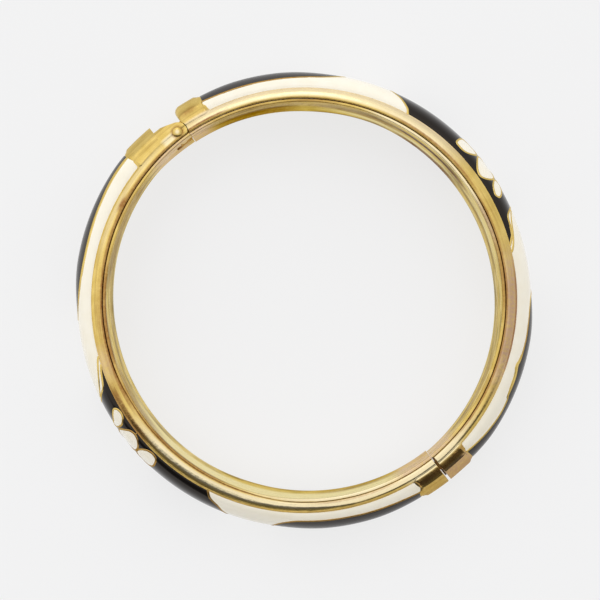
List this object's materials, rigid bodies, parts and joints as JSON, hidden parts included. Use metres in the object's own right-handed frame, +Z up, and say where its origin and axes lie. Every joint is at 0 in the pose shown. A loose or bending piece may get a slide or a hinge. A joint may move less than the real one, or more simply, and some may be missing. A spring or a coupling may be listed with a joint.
{
  "type": "hinged bangle",
  "caption": "Oval hinged bangle in gold-coloured brass with black and cream enamel cells, a pin hinge and a push-in clasp.",
  "frame": {"origin": "centre of the ring on the face that it lies on", "axes": "+Z up out of the ring's plane, +X from the hinge to the clasp"},
  "size_m": [0.0697, 0.068, 0.012],
  "materials": {
    "gilt_brass": "polished, worn, with light brown tarnish",
    "gilt_brass_liner": "polished, slightly pink near the hinge and the clasp",
    "black_enamel": "glossy",
    "cream_enamel": "glossy"
  },
  "bodies": {
    "socket_half": {"socket_shell": "gilt_brass", "socket_liner": "gilt_brass_liner", "hinge_pin": "gilt_brass", "socket_core_start": "black_enamel", "socket_core_end": "black_enamel", "socket_white_start": "cream_enamel", "socket_white_end": "cream_enamel", "socket_panel": "black_enamel", "socket_petal_1": "cream_enamel", "socket_petal_2": "cream_enamel", "socket_petal_3": "cream_enamel", "socket_petal_4": "cream_enamel", "socket_petal_5": "cream_enamel", "socket_petal_6": "cream_enamel"},
    "tongue_half": {"tongue_shell": "gilt_brass", "tongue_liner": "gilt_brass_liner", "clasp_tongue": "gilt_brass", "tongue_core_start": "black_enamel", "tongue_core_end": "black_enamel", "tongue_white_start": "cream_enamel", "tongue_white_end": "cream_enamel", "tongue_panel": "black_enamel", "tongue_petal_1": "cream_enamel", "tongue_petal_2": "cream_enamel", "tongue_petal_3": "cream_enamel", "tongue_petal_4": "cream_enamel", "tongue_petal_5": "cream_enamel", "tongue_petal_6": "cream_enamel"}
  },
  "joints": [
    {"name": "hinge", "type": "hinge", "parent": "socket_half", "child": "tongue_half", "pos_m": [-0.03126, 0.00077, 0.006], "axis": [0, 0, 1], "range_deg": [0, 52]}
  ]
}
